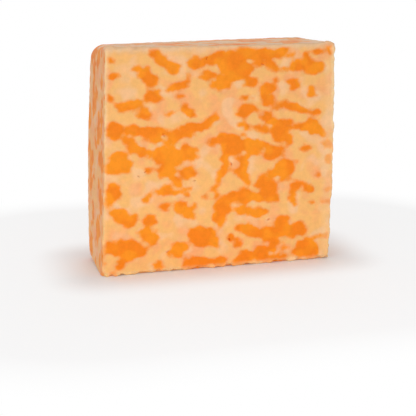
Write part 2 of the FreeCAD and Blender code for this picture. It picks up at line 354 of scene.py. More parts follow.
# %% [markdown]
# ## Wear
#
# A wire leaves the cut almost flat, yet no cheese is quite flat: the faces roll a little, the crisp edges
# are ragged where curds tore, and the faces that lay against the mould show each curd as a slightly raised
# cushion.  The upper edge of the cut sags between its corners, the left one is a little hollow, and the
# foot's front edge has crumbled more than the others, so that it lifts off the floor here and there.
#
# This could be sculpted by hand, but all of it is small next to the block and follows rules, so it is a
# displacement of the skin.  A tree of geometry nodes keeps its amounts as named inputs.

# %% Rolling faces and raised curds
MOULD_FROM, MOULD_FULL = 1 * MM, 5 * MM  # distances behind the cut where the mould face starts and is full
SEAM_WIDTH = 0.28  # of a curd's size, over which its cushion sinks to the seam


def face_wear(tree, given, place, outwards, y):
    """How far the faces move: all roll, and behind the cut each curd stands up as a cushion."""
    roll = seeded_noise(tree, place, given["Seed"], given["Roll_length"], 1.0)
    roll = product(tree, swing(tree, roll, 2.0), given["Roll"])
    seam = add(tree, "ShaderNodeTexVoronoi", place, given["Seed"],
               reckon(tree, "DIVIDE", 1.0, given["Curd_size"]), 0.0, 0.5, 2.0,
               voronoi_dimensions="4D", feature="DISTANCE_TO_EDGE")
    raised = product(tree, given["Cushion"], behind_cut(tree, y, MOULD_FROM, MOULD_FULL))
    cushion = product(tree, ramp(tree, seam, 0.0, SEAM_WIDTH, -1.0, 0.0), raised)
    return vector_sum(tree, "SCALE", outwards, reckon(tree, "ADD", roll, cushion))


print("curds are full cushions from", round(MOULD_FULL / MM, 1), "mm behind the cut")

# %% Torn edges
FOOT_EDGE, ABOVE_FOOT = 1 * MM, 5 * MM  # heights at which the foot's own wear is full, and gone
LIFT_LENGTH = 7 * MM  # length of the stretches where the foot's front edge lifts
LIFT_FROM, LIFT_FULL = 0.42, 0.6  # values of the noise where such a stretch starts and is full


def near_line(tree, line, place):
    """Distance to the nearest edge of a line object, in metres."""
    line = add(tree, "GeometryNodeObjectInfo", line, False, pick=4)
    return add(tree, "GeometryNodeProximity", line, None, place, pick=1, target_element="EDGES")


def edge_wear(tree, given, place, z):
    """How far places near the crisp edge move: in all directions, and at the foot upwards too."""
    nearness = ramp(tree, near_line(tree, given["Cut_edge"], place), 0.0, given["Ragged_reach"], 1.0, 0.0)
    more = ramp(tree, z, FOOT_EDGE, ABOVE_FOOT, given["Foot_ragged"], 1.0)
    amount = product(tree, product(tree, nearness, more), product(tree, given["Ragged"], 2.0))
    torn = seeded_noise(tree, place, given["Seed"], given["Ragged_length"], 2.0, pick=1)
    torn = swing_all_ways(tree, torn, amount)
    stretch = ramp(tree, seeded_noise(tree, place, given["Seed"], LIFT_LENGTH, 2.0), LIFT_FROM, LIFT_FULL)
    at_foot = product(tree, nearness, ramp(tree, z, FOOT_EDGE, ABOVE_FOOT, 1.0, 0.0))
    gap = product(tree, at_foot, product(tree, given["Foot_gap"], stretch))
    return vector_sum(tree, "ADD", torn, add(tree, "ShaderNodeCombineXYZ", 0.0, 0.0, gap))


print("the foot's own wear ends", round(ABOVE_FOOT / MM, 1), "mm up")

# %% Bowed edges
SAG_FROM, SAG_FULL = 30 * MM, 2 * MM  # distances below the top
HOLLOW_FROM, HOLLOW_FULL = 30 * MM, 8 * MM  # distances from the left-hand side


def arch(tree, share):
    """1 at the middle of an edge and 0 at its ends; the share is 0 at the middle and 1 at an end."""
    return reckon(tree, "SUBTRACT", 1.0, reckon(tree, "POWER", share, 2.0))


def edge_bow(tree, given, x, y, z):
    """How far the cut's upper edge sags and its left one pulls in; the mould face has neither."""
    forward = add(tree, "ShaderNodeMapRange", y, high[1], low[1], 0.0, 1.0)
    upper = below_top(tree, z, SAG_FROM, SAG_FULL)
    leftmost = ramp(tree, x, low[0] + HOLLOW_FROM, low[0] + HOLLOW_FULL)
    arch_x = arch(tree, reckon(tree, "DIVIDE", x, high[0]))
    arch_z = arch(tree, reckon(tree, "DIVIDE", reckon(tree, "SUBTRACT", z, middle[2]), middle[2]))
    down = product(tree, product(tree, forward, upper), product(tree, arch_x, given["Sag"]))
    right = product(tree, product(tree, forward, leftmost), product(tree, arch_z, given["Hollow"]))
    return add(tree, "ShaderNodeCombineXYZ", right, 0.0, product(tree, down, -1.0))


print("edges bow over, mm:", [round(reach / MM) for reach in (SAG_FROM, HOLLOW_FROM)])

# %% The tree of all wear
FREE_ABOVE = 0.8 * MM  # the foot stays level up to this height, apart from its torn edge
ANYWHERE = -1.0  # lower than any x or y of the block
WEAR = dict(
    Roll=0.5 * MM, Roll_length=34 * MM, Ragged=1.7 * MM, Ragged_length=4.5 * MM, Ragged_reach=2.8 * MM,
    Foot_ragged=2.2, Foot_gap=1.8 * MM, Cushion=0.22 * MM, Curd_size=8 * MM, Sag=1.6 * MM,
    Hollow=1.2 * MM, Seed=3.0,
)


def worn_skin():
    """Tree that wears the skin."""
    tree, given = shape_tree("worn_skin", Cut_edge="Object", Material="Material", **WEAR)
    place = add(tree, "GeometryNodeInputPosition")
    outwards = add(tree, "GeometryNodeInputNormal")
    x, y, z = parts(tree, place)
    held = vector_sum(tree, "ADD", face_wear(tree, given, place, outwards, y),
                      edge_bow(tree, given, x, y, z))
    held = vector_sum(tree, "MULTIPLY", held, add(
        tree, "ShaderNodeCombineXYZ", 1.0, 1.0, ramp(tree, z, 0.0, FREE_ABOVE)))
    moved = vector_sum(tree, "ADD", held, edge_wear(tree, given, place, z))
    moved = vector_sum(tree, "ADD", place, moved)
    moved = vector_sum(tree, "MAXIMUM", moved, (ANYWHERE, ANYWHERE, 0.0))
    end_tree(tree, add(tree, "GeometryNodeSetPosition", given["Geometry"], True, moved), given["Material"])
    return tree


cheese = bpy.data.materials.new("marbled_cheese")
apply_tree(block, worn_skin(), Cut_edge=cut_edge, Material=cheese, **WEAR)

# %% [markdown]
# ## Burrs and dents
#
# Handling has pushed a few small burrs and dents into the crisp edge.  They are too few and too
# different for a rule, so each is listed one by one: the skin near a place is pushed, most at the place
# itself and less and less towards its reach, as with a soft brush.

# %% Burrs and dents on the crisp edge
# Each: where along x and z on the cut, how far it reaches, and how far it pushes along x, y and z, in
# millimetres.
BURRS = [
    (-92, 178, 4, 0.3, 0.0, 0.5), (-83, 178, 4, 0.0, -0.5, 1.1), (-79, 178, 3, 0.0, 1.0, -1.5),
    (-64, 178, 4, 0.0, 1.0, -1.4), (-58, 178, 4, 0.0, -0.4, 0.9), (-97, 135, 3, 0.9, 0.9, 0.0),
    (-70, 178, 4, 0.0, -0.4, 1.1), (-75, 178, 3, 0.0, 0.4, -0.6), (88, 178, 6, 0.0, -0.4, 1.5),
    (78, 178, 5, 0.0, 0.3, -0.6), (96, 173, 3, 1.0, -0.3, 0.0), (96, 167, 4, -0.6, 0.3, 0.0),
    (-96, 160, 3, 1.6, 1.4, 0.0), (96, 112, 4, 0.5, 0.0, 0.0), (-84, 1, 4, 0.0, -0.8, 0.0),
    (-95, 1, 5, 1.2, 0.6, 0.5), (-96, 120, 6, 0.5, 0.4, 0.0), (-97, 86, 5, -0.4, -0.3, 0.0),
]


def read_vectors(values, name):
    """One vector for each item of a mesh's data, as an array."""
    vectors = np.empty(len(values) * 3)
    values.foreach_get(name, vectors)
    return vectors.reshape(-1, 3)


spots = read_vectors(block.data.vertices, "co")
for across, up, reach, *push in BURRS:
    away = np.linalg.norm(spots - (across * MM, low[1], up * MM), axis=1) / (reach * MM)
    share = np.clip(1 - away, 0, 1)
    spots += (share * share * (3 - 2 * share))[:, None] * np.array(push) * MM
spots[:, 2] = np.maximum(spots[:, 2], 0)
block.data.vertices.foreach_set("co", spots.ravel())
print("burrs and dents:", len(BURRS))

# %% [markdown]
# ## Gaps between curds and lost crumbs
#
# Where curds did not knit, the cut shows a small slit or dimple, and along the crisp edge a few crumbs
# have torn away.  The frame's block already has them in their places, as plain wedges.  Their floors are
# found as the vertices that lie below the convex outline; each group of them gives a place, a direction
# and a size.  There a squashed, lumpy ball is set by instancing, and one boolean takes them all away.
# Pushing the skin inwards would be simpler, but it leaves shallow, slanting walls where a gap has steep
# ones.
#
# Most of the lost crumbs are too shallow to be found so, and the ragged edge stands for them.  The sides
# are slightly twisted, so some of their vertices lie just below the outline too: they become dimples too
# small to see.

# %% Find the gaps in the frame's block
NOT_SUNK = 0.2 * MM  # a vertex less deep than this lies on the outline
ONE_GAP = 3 * MM  # vertices nearer than this are floors of one gap

sunk = []
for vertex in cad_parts[NODE].data.vertices:
    if outline.find_nearest(vertex.co)[3] > NOT_SUNK:
        sunk.append(vertex.co)

gaps = []
while sunk:
    group = [floor for floor in sunk if (floor - sunk[0]).length < ONE_GAP]
    sunk = [floor for floor in sunk if (floor - sunk[0]).length >= ONE_GAP]
    floors = np.array(group)
    centre = floors.mean(axis=0)
    surface, normal, _, depth = outline.find_nearest(Vector(centre))
    spread = floors - centre
    farthest = spread[np.argmax(np.linalg.norm(spread, axis=1))]
    gaps.append((surface, normal, Vector(farthest), depth))
print("gaps, crumbs and tiny dimples:", len(gaps))

# %% Places for the gaps, as loose vertices with a turn and a size
FLOOR_SHARE = 0.45  # a wedge's floor is this share as long as its mouth
GAP_WIDTH = 0.45  # a gap is this share as wide as it is long


def write_field(mesh, name, values, kind="FLOAT"):
    """Stores a value, or a vector, for each vertex."""
    field = mesh.attributes.new(name, kind, "POINT")
    field.data.foreach_set("vector" if kind == "FLOAT_VECTOR" else "value", np.ravel(values))


gap_places = add_object("gap_places", [surface for surface, *_ in gaps])
turns, sizes = [], []
for surface, normal, along, depth in gaps:
    half_length = along.length / FLOOR_SHARE
    along = (along - normal * along.dot(normal)).normalized()
    turns.append(Matrix((along, normal.cross(along), normal)).transposed().to_euler())
    sizes.append((half_length, GAP_WIDTH * half_length, depth))
write_field(gap_places.data, "turn", turns, "FLOAT_VECTOR")
write_field(gap_places.data, "size", sizes, "FLOAT_VECTOR")
print("largest gap, mm:", (np.max(sizes, axis=0) / MM).round(1))

# %% The tree that opens the gaps
BALL_ROUNDS = 3  # subdivisions of the ball that cuts a gap
LUMPS = dict(Lump=0.5 * MM, Lump_length=1.6 * MM, Seed=1.0)


def opened_gaps():
    """Tree that takes a lumpy ball away at each gap's place."""
    tree, given = shape_tree("opened_gaps", Gap_places="Object", Material="Material", **LUMPS)
    points = add(tree, "GeometryNodeObjectInfo", given["Gap_places"], False, pick=4)
    ball = add(tree, "GeometryNodeMeshIcoSphere", 1.0, BALL_ROUNDS)
    turn = add(tree, "FunctionNodeEulerToRotation",
               add(tree, "GeometryNodeInputNamedAttribute", "turn", data_type="FLOAT_VECTOR"))
    size = add(tree, "GeometryNodeInputNamedAttribute", "size", data_type="FLOAT_VECTOR")
    balls = add(tree, "GeometryNodeInstanceOnPoints", points, True, ball, None, None, turn, size)
    balls = add(tree, "GeometryNodeRealizeInstances", balls)
    lumps = seeded_noise(tree, None, given["Seed"], given["Lump_length"], 2.0, pick=1)
    lumps = swing_all_ways(tree, lumps, product(tree, given["Lump"], 2.0))
    lumpy = add(tree, "GeometryNodeSetPosition", balls, True, None, lumps)
    opened = add(tree, "GeometryNodeMeshBoolean", given["Geometry"], lumpy, operation="DIFFERENCE",
                 solver="EXACT")
    end_tree(tree, opened, given["Material"])
    return tree


apply_tree(block, opened_gaps(), Gap_places=gap_places, Material=cheese, **LUMPS)

# %% [markdown]
# ## Marbling
#
# The two sorts of curd are mixed in the press, and the coloured ones lie in clumps.  A colour noise would
# give soft clouds instead of patches, so the marbling is grown as the cheese is: the block is filled with
# curds, a few millimetres across and pressed flat towards the mould, and each is coloured if it lies in a
# clump or, near the clump's edge, by chance.  A place on the skin belongs to the curd that is nearest,
# which gives the patches angular edges; a share of the clump's own round outline is mixed in and the
# result is blurred a little, because pressing rounds the curds.
#
# The clumps on the cut are listed one by one, as flattened ellipsoids, and those on the other sides are
# drawn at random, from the same sizes.

# %% Clumps of coloured curd on the cut
# Each: across from the middle and up from the foot, half its length and half its thickness, in
# millimetres, and its tilt in degrees.
CUT_CLUMPS = [
    (-43, 165, 13, 5, -40), (-46, 172, 4, 2, -10), (-63, 160, 4, 4, 0), (-54, 154, 10, 4, -55),
    (-33, 147, 8, 3, 10), (-53, 140, 6, 4, -10), (-85, 168, 4, 2, -30), (-83, 156, 5, 2, -10),
    (-87, 139, 4, 2, -30), (-96, 144, 4, 2, 90), (-96, 131, 4, 2, 90), (-97, 113, 4, 2, 90),
    (-97, 103, 3, 2, 90), (-96, 90, 8, 3, 90), (-97, 44, 9, 2, 90), (-96, 14, 9, 3, 90),
    (-96, 60, 6, 2, 90), (-69, 134, 10, 4, 10), (-59, 127, 6, 4, -45), (-40, 126, 3, 2, 0),
    (-25, 128, 6, 3, -35), (-4, 121, 4, 4, 40), (-19, 116, 14, 4, 3), (-26, 110, 6, 3, 0),
    (-83, 115, 8, 7, 0), (-66, 114, 12, 3, -5), (-51, 112, 9, 5, -10), (-36, 108, 8, 5, 35),
    (-50, 107, 8, 3, -10), (-70, 106, 6, 3, -15), (-65, 99, 7, 4, -20), (-79, 90, 9, 9, 0),
    (-90, 86, 5, 3, -30), (-43, 95, 13, 7, 0), (-37, 88, 6, 3, 0), (-25, 95, 8, 7, 0), (-56, 84, 4, 3, 0),
    (-41, 82, 8, 6, 0), (-25, 79, 7, 6, 10), (-34, 72, 5, 3, -30), (-11, 166, 9, 4, 0),
    (10, 164, 13, 10, 0), (20, 173, 8, 3, 0), (1, 148, 8, 6, 0), (-7, 155, 8, 3, 0), (18, 157, 13, 5, 18),
    (24, 148, 7, 3, 15), (-20, 165, 5, 4, 0), (36, 170, 24, 4, 0), (41, 162, 3, 4, 0), (33, 164, 2, 4, 0),
    (50, 158, 7, 2, 0), (64, 160, 8, 4, 20), (71, 165, 4, 5, 0), (77, 159, 9, 5, 0), (82, 172, 4, 2, 0),
    (91, 174, 3, 3, 0), (94, 174, 4, 6, 0), (91, 177, 5, 3, 10), (61, 146, 5, 5, 0), (76, 139, 4, 3, 0),
    (39, 143, 5, 5, -60), (40, 134, 9, 4, -45), (55, 129, 10, 3, -8), (65, 127, 5, 3, -30),
    (76, 124, 9, 2, -3), (23, 137, 4, 2, 0), (22, 126, 8, 5, 15), (21, 114, 6, 2, -25), (39, 121, 5, 4, 0),
    (47, 115, 8, 5, -25), (39, 111, 7, 3, 0), (37, 113, 6, 2, 3), (54, 112, 7, 6, 0), (68, 111, 8, 3, 5),
    (77, 114, 7, 4, 15), (78, 109, 3, 3, 0), (84, 107, 8, 3, -65), (91, 97, 5, 4, -70), (92, 83, 2, 3, 0),
    (73, 96, 4, 3, -35), (51, 104, 8, 4, -15), (58, 101, 4, 5, 0), (45, 92, 8, 6, 0), (41, 98, 3, 3, 0),
    (10, 103, 17, 5, -3), (33, 100, 4, 4, 0), (10, 98, 10, 7, 0), (26, 97, 6, 7, 0), (5, 89, 4, 6, 0),
    (2, 76, 11, 3, 62), (5, 82, 3, 4, 0), (20, 80, 11, 5, -78), (54, 78, 9, 8, 0), (44, 75, 5, 3, 0),
    (36, 69, 6, 4, 50), (36, 58, 4, 3, 90), (38, 54, 12, 2, -3), (42, 65, 5, 5, 0), (19, 58, 18, 5, 3),
    (2, 49, 8, 8, 0), (-2, 60, 3, 3, 0), (1, 40, 5, 6, 0), (43, 60, 6, 5, 0), (48, 54, 4, 3, 60),
    (23, 45, 9, 4, -15), (33, 44, 7, 4, 0), (66, 64, 6, 3, -20), (75, 61, 5, 3, -20), (63, 54, 7, 3, -60),
    (81, 49, 3, 3, 0), (92, 49, 4, 2, 0), (54, 34, 7, 5, 0), (67, 27, 9, 6, -5), (49, 26, 11, 5, 0),
    (21, 32, 5, 4, 10), (29, 28, 12, 4, -12), (40, 24, 5, 4, 0), (48, 17, 4, 3, 0), (10, 24, 3, 2, 0),
    (15, 19, 5, 2, -60), (22, 7, 7, 6, 0), (14, 2, 5, 2, 0), (36, 9, 7, 6, 0), (47, 3, 12, 4, 0),
    (57, 13, 3, 3, 60), (47, 10, 3, 2, -30), (74, 13, 10, 6, 25), (79, 7, 8, 6, 10), (87, 20, 7, 2, -5),
    (70, 6, 6, 3, 0), (-84, 68, 5, 8, 0), (-89, 61, 5, 4, 0), (-80, 49, 9, 5, -25), (-74, 45, 7, 6, -25),
    (-57, 43, 5, 5, 0), (-60, 34, 6, 4, 0), (-56, 29, 5, 6, 0), (-88, 25, 6, 5, 0), (-84, 20, 6, 3, -10),
    (-74, 24, 9, 6, 0), (-69, 18, 11, 5, 10), (-80, 9, 4, 4, 0), (-49, 6, 4, 3, -20), (-86, 3, 3, 2, 0),
    (-34, 18, 8, 6, 15), (-13, 27, 13, 8, -8), (-4, 20, 5, 3, 0), (-18, 5, 12, 6, 0), (0, 4, 8, 5, 0),
    (-58, 61, 3, 2, 0), (-46, 67, 7, 3, 15), (-34, 64, 6, 2, 0), (-27, 67, 3, 2, 20), (-44, 53, 4, 2, 25),
    (-34, 54, 6, 3, 10), (-27, 49, 7, 5, -50), (-21, 52, 4, 2, 90), (-25, 155, 2, 1, 90),
    (46, 149, 2, 1, 90), (-30, 140, 2, 1, 0), (-10, 59, 2, 1, 0), (83, 71, 2, 1, 0), (93, 61, 2, 1, 0),
    (67, 85, 2, 1, 0),
]
CUT_CLUMP_DEPTH = 6  # half a clump's depth, in millimetres


def clump_axes(half_sizes, tilt, turn):
    """Matrix that takes a clump's ellipsoid to a ball of radius one; tilted about y, then turned about z."""
    place = Matrix.Rotation(turn, 3, "Z") @ Matrix.Rotation(-tilt, 3, "Y")
    return np.diag(1 / np.array(half_sizes)) @ np.array(place.transposed())


clumps = []  # centre, axes matrix, half thickness, farthest reach
for across, up, length, thickness, tilt in CUT_CLUMPS:
    half_sizes = np.array([length, CUT_CLUMP_DEPTH, thickness]) * MM
    clumps.append((np.array([across * MM, low[1], up * MM]),
                   clump_axes(half_sizes, math.radians(tilt), 0.0), thickness * MM, half_sizes.max()))
print("clumps on the cut:", len(clumps))

# %% Clumps on the other sides
TRIES = 2000
CLEAR_OF_CUT, SKIN_DEPTH = 5 * MM, 10 * MM  # such a clump lies behind the cut and not far under the skin
SMALLEST, GROWS_BY = np.array([5, 1.4, 3]), np.array([10, 2.2, 6])  # half sizes, in millimetres
UNEVEN = (0.8, 1.25)  # each half size also varies between these
TILTS, TURNS = 0.45, 0.12  # spread of a clump's tilt and turn, in radians

chance = np.random.default_rng(29)
for _ in range(TRIES):
    centre = chance.uniform(low, high)
    bulk = chance.uniform() ** 2
    half_sizes = (SMALLEST + GROWS_BY * bulk) * chance.uniform(*UNEVEN, 3) * MM
    tilt, turn = chance.normal(0, TILTS), chance.normal(0, TURNS)
    behind = centre[1] - low[1]
    under_skin = min(np.min(centre - low), np.min(high - centre))
    if behind < CLEAR_OF_CUT or under_skin > SKIN_DEPTH:
        continue
    clumps.append((centre, clump_axes(half_sizes, tilt, turn), half_sizes[1], half_sizes.max()))
print("clumps in all:", len(clumps))

# %% How deep a point lies in the clumps
FAR = 3.0  # millimetres from the edge of a patch beyond which nothing changes


def clump_field(points):
    """How deep in a clump each point lies, in millimetres: above 0 inside, below 0 outside."""
    field = np.full(len(points), -FAR)
    for centre, axes, thickness, reach in clumps:
        near = np.flatnonzero(np.abs(points - centre).max(axis=1) < reach + FAR * MM)
        away = np.linalg.norm((points[near] - centre) @ axes.T, axis=1)
        field[near] = np.maximum(field[near], (1 - away) * thickness / MM)
    return field


print("depth at the block's middle, mm:", clump_field(middle[None])[0].round(1))

# %% Fill the block with curds
CURD = np.array([4.8, 3.0, 3.2]) * MM  # a pressed curd's length, depth and height
SQUEEZE = CURD[0] / CURD  # makes such a curd as deep and as high as it is long
GROWN, STRAY = 0.3, 1.0  # millimetres that a clump reaches beyond its ellipsoid, on the whole and by chance

counts = np.ceil((high - low) / CURD).astype(int) + 2
steps = np.stack(np.meshgrid(*[np.arange(count) for count in counts], indexing="ij"), -1).reshape(-1, 3)
curds = low + (steps - 0.5 + chance.uniform(-0.5, 0.5, steps.shape)) * CURD
coloured = clump_field(curds) > -GROWN + chance.uniform(-STRAY, STRAY, len(curds))
for centre, *_ in clumps[:len(CUT_CLUMPS)]:
    coloured[np.argmin(np.linalg.norm((curds - centre) * SQUEEZE, axis=1))] = True
curd_centres = add_object("curd_centres", curds * SQUEEZE)
write_field(curd_centres.data, "annatto", coloured)
print("curds:", len(curds))

# %% The tree that colours the skin from the curds
UNDER = 1.8 * MM  # coloured curd this far under the skin still shines through
MARBLING = dict(Angular=0.75, Squeeze_y=float(SQUEEZE[1]), Squeeze_z=float(SQUEEZE[2]), Far=FAR,
                Under=UNDER, Softening=2)


def store(tree, geometry, name, value):
    """Keeps a value for each vertex under a name."""
    return add(tree, "GeometryNodeStoreNamedAttribute", geometry, True, name, value,
               data_type="FLOAT", domain="POINT")


def curd_marbling():
    """Tree that stores how deep each vertex, and the cheese just under it, lies in coloured curd."""
    tree, given = shape_tree("curd_marbling", Curd_centres="Object", Cut_edge="Object",
                             Material="Material", **MARBLING)
    centres = add(tree, "GeometryNodeObjectInfo", given["Curd_centres"], False, pick=4)
    coloured = add(tree, "GeometryNodeInputNamedAttribute", "annatto", data_type="FLOAT")
    coloured = reckon(tree, "GREATER_THAN", coloured, 0.5)
    sorts = [add(tree, "GeometryNodeSeparateGeometry", centres, coloured, pick=n) for n in range(2)]
    place = add(tree, "GeometryNodeInputPosition")
    outwards = add(tree, "GeometryNodeInputNormal")
    under = vector_sum(tree, "SUBTRACT", place, vector_sum(tree, "SCALE", outwards, given["Under"]))
    squeeze = add(tree, "ShaderNodeCombineXYZ", 1.0, given["Squeeze_y"], given["Squeeze_z"])
    geometry = given["Geometry"]
    for name, clump, source in (("annatto", "clump", place), ("annatto_under", "clump_under", under)):
        source = vector_sum(tree, "MULTIPLY", source, squeeze)
        to_annatto, to_pale = (add(tree, "GeometryNodeProximity", sort, None, source, pick=1,
                                   target_element="POINTS") for sort in sorts)
        nearer = reckon(tree, "DIVIDE", reckon(tree, "SUBTRACT", to_pale, to_annatto), MM)
        nearer = add(tree, "ShaderNodeClamp", nearer, product(tree, given["Far"], -1.0), given["Far"])
        ellipsoid = add(tree, "GeometryNodeInputNamedAttribute", clump, data_type="FLOAT")
        mixed = add(tree, "ShaderNodeMix", given["Angular"], ellipsoid, nearer, data_type="FLOAT")
        softened = add(tree, "GeometryNodeBlurAttribute", mixed, given["Softening"], data_type="FLOAT")
        geometry = store(tree, geometry, name, softened)
    from_edge = reckon(tree, "DIVIDE", near_line(tree, given["Cut_edge"], place), MM)
    geometry = store(tree, geometry, "from_cut_edge", from_edge)
    end_tree(tree, geometry, given["Material"])
    return tree


skin = read_vectors(block.data.vertices, "co")
outwards = read_vectors(block.data.vertex_normals, "vector")
for name, points in (("clump", skin), ("clump_under", skin - UNDER * outwards)):
    write_field(block.data, name, np.minimum(clump_field(points) + GROWN, FAR))
apply_tree(block, curd_marbling(), Curd_centres=curd_centres, Cut_edge=cut_edge, Material=cheese,
           **MARBLING)
shown = np.empty(len(block.data.vertices))
block.data.attributes["annatto"].data.foreach_get("value", shown)
print("share of coloured skin:", round(float((shown > 0).mean()), 2))

# %% [markdown]
# ## The cheese
#
# The skin now carries how deep each place lies in coloured curd, in millimetres.  A painted pattern
# would stretch round the edges, so the material turns that depth into colour itself: it roughens the edge
# of each patch with fine noise and mixes annatto orange with cream over a few millimetres, because the
# dye bleeds a little.  Coloured curd just under the skin shines through as a faint warm patch.  Each curd
# differs slightly from its neighbours, and cream next to orange has turned a little pink.
#
# Then the cheese ages.  The mould faces are a little duller, the top is pale and dry, and just behind the
# cut's upright edges the mould face has darkened.  The rim of the cut is painted paler as a highlight, where
# the worn edge catches light, and the cut's right-hand end is painted paler too.  The lower part of the
# block is painted a trace lighter than the upper, as painted light.  Light enters the cheese and scatters,
# so the shader has some subsurface weight, and a trace of sheen stands for the light that a matt, moist face
# throws back at low angles.

# %% Colours of the two sorts of curd
def linear(red, green, blue):
    """A colour given as on a screen, 0 to 255, as Blender's shaders want it."""
    shares = [channel / 255 for channel in (red, green, blue)]
    return (*[share / 12.92 if share <= 0.04045 else ((share + 0.055) / 1.055) ** 2.4
              for share in shares], 1.0)


ANNATTO_DEEP, ANNATTO_BRIGHT = linear(244, 132, 22), linear(249, 148, 28)
CREAM_PINK, CREAM_YELLOW, CREAM_PALE = linear(245, 171, 112), linear(244, 185, 112), linear(243, 193, 144)
# The first colour is the painted highlight of the cut's rim; the second is the dry top's cream.
RIM_HIGHLIGHT, DRY_TOP = linear(246, 208, 156), linear(230, 190, 150)
MOULD_DULL, TOP_DULL = linear(238, 160, 126), linear(242, 204, 180)
print("annatto, linear:", [round(channel, 3) for channel in ANNATTO_BRIGHT[:3]])

# %% Reading and mixing, in the material
GRAIN = 0.55  # how much of a noise's finer layers shows


def mix_colours(tree, share, first, second):
    """A colour between two."""
    return add(tree, "ShaderNodeMix", share, first, second, data_type="RGBA")


def stored(tree, name):
    """A value that the skin's vertices carry."""
    return add(tree, "ShaderNodeAttribute", attribute_name=name, attribute_type="GEOMETRY", pick=2)


def noise(tree, place, length, detail):
    """Noise whose features are about a length across."""
    return add(tree, "ShaderNodeTexNoise", place, 1 / length, detail, GRAIN)


def unsteady(tree, place, value, length, detail, amount):
    """A value that a noise makes swing by half an amount each way."""
    return reckon(tree, "ADD", value, swing(tree, noise(tree, place, length, detail), amount))


print("helpers: mix_colours, stored, noise and unsteady")

# %% How far a place is coloured
# Each roughness is a noise's length, its detail, and how far it moves an edge, in millimetres.
PATCH_EDGES = ((3 * MM, 2.0, 2.4), (8 * MM, 1.0, 3.0))
UNDER_EDGES = (9 * MM, 2.0, 3.0)
CRISP, SMEARED = (-1.9, 1.4), (-1.7, 0.8)  # depths in mm where cream turns orange, on cut and mould faces
SHINING = (-0.2, 2.2, 0.0, 0.25)  # depths under the skin, and how much of the orange shows through


def coloured_share(tree, place, moulded):
    """How deep a place lies in coloured curd, in millimetres, and its share of annatto, 0 to 1."""
    depth = stored(tree, "annatto")
    for roughness in PATCH_EDGES:
        depth = unsteady(tree, place, depth, *roughness)
    patch = add(tree, "ShaderNodeMix", moulded, ramp(tree, depth, *CRISP), ramp(tree, depth, *SMEARED),
                data_type="FLOAT")
    under = unsteady(tree, place, stored(tree, "annatto_under"), *UNDER_EDGES)
    return depth, reckon(tree, "MAXIMUM", patch, ramp(tree, under, *SHINING))


print("colour turns over, mm:", round(CRISP[1] - CRISP[0], 1), "and", round(SMEARED[1] - SMEARED[0], 1))

# %% Cream and orange that differ from curd to curd
CURD_TONE = 9 * MM  # size of the pieces that differ
OWN_SHARE = 0.4  # of a piece's tone that is its own; the rest it has from its surroundings
SURROUNDINGS = ((13 * MM, 1.0), (17 * MM, 2.0))  # length and detail of the noise for tone and for pinkness
PINKER, PALER, BRIGHTER = (0.44, 0.70), (0.46, 0.68, 0.0, 0.8), (0.38, 0.60)  # tones for each change
HALO = (-2.6, 0.0, 0.0, 0.35)  # depths, in mm, over which cream near orange turns pink, and how much
TOP_DRIES = (9 * MM, 2 * MM, 0.0, 0.8)  # distances below the top, and how dry the cream is there
UNSTEADY_TOP = (6 * MM, 2.0, 6 * MM)


def curd_colours(tree, place, depth, z):
    """The cream and the orange of a place."""
    curd = add(tree, "ShaderNodeTexVoronoi", place, 1 / CURD_TONE, 0.0, 0.5, 2.0, 1.0,
               feature="SMOOTH_F1", pick=1)
    tone, pinkness = (
        reckon(tree, "ADD",
               product(tree, add(tree, "ShaderNodeSeparateColor", curd, pick=channel), OWN_SHARE),
               product(tree, noise(tree, place, *around), 1 - OWN_SHARE))
        for channel, around in enumerate(SURROUNDINGS))
    pink = reckon(tree, "ADD", ramp(tree, pinkness, *PINKER), ramp(tree, depth, *HALO))
    cream = mix_colours(tree, reckon(tree, "MINIMUM", pink, 1.0), CREAM_YELLOW, CREAM_PINK)
    cream = mix_colours(tree, ramp(tree, tone, *PALER), cream, CREAM_PALE)
    near_top = below_top(tree, unsteady(tree, place, z, *UNSTEADY_TOP), *TOP_DRIES)
    cream = mix_colours(tree, near_top, cream, DRY_TOP)
    return cream, mix_colours(tree, ramp(tree, tone, *BRIGHTER), ANNATTO_DEEP, ANNATTO_BRIGHT)


print("pieces that differ, mm:", round(CURD_TONE / MM))

# %% Dull mould faces
DULL_MOULD, DULL_TOP = 0.20, 0.10  # shares of the dull colour in the mould faces' cream and in the top
FAINT, FULL = 0.2, 0.9  # shares of annatto at which a place starts to stay bright, and does


def dulled(tree, colour, amount, moulded, at_top):
    """The mould faces and the top are a little duller; orange stays bright, except on the top."""
    dull = mix_colours(tree, at_top, MOULD_DULL, TOP_DULL)
    on_cream = ramp(tree, amount, FAINT, FULL, DULL_MOULD, 0.0)
    share = add(tree, "ShaderNodeMapRange", at_top, 0.0, 1.0, on_cream, DULL_TOP)
    return mix_colours(tree, product(tree, moulded, share), colour, dull)


print("shares of dull colour:", DULL_MOULD, DULL_TOP)

# %% The rim, painted pale as a highlight, and the darker band behind it
RIM = (0.4, 4.6, 0.9, 0.0)  # distances from the crisp edge, in mm, and how much the painted highlight shows there
UNSTEADY_RIM = (5 * MM, 2.0, 3.0)
RIM_HEIGHTS = (80 * MM, 130 * MM, 0.45, 1.0)  # the rim's painted highlight is stronger above than below
RIGHT_END = (12 * MM, 6 * MM)  # distances from the right-hand side
RIGHT_END_TOP = (18 * MM, 10 * MM, 1.0, 0.0)  # distances below the top, where that end stops
GREYER = (7 * MM, 2 * MM)  # distances below the top, where the rim's painted highlight takes the dry top's own tone
TURN = (0.8 * MM, 1.8 * MM)  # distances behind the cut, where the rim ends and the band begins
BAND = (4 * MM, 12 * MM)  # distances behind the cut, where the band fades
STRETCHES = (0.4, 0.6, 0.05, 0.45)  # values of a noise, and how dark the band is there


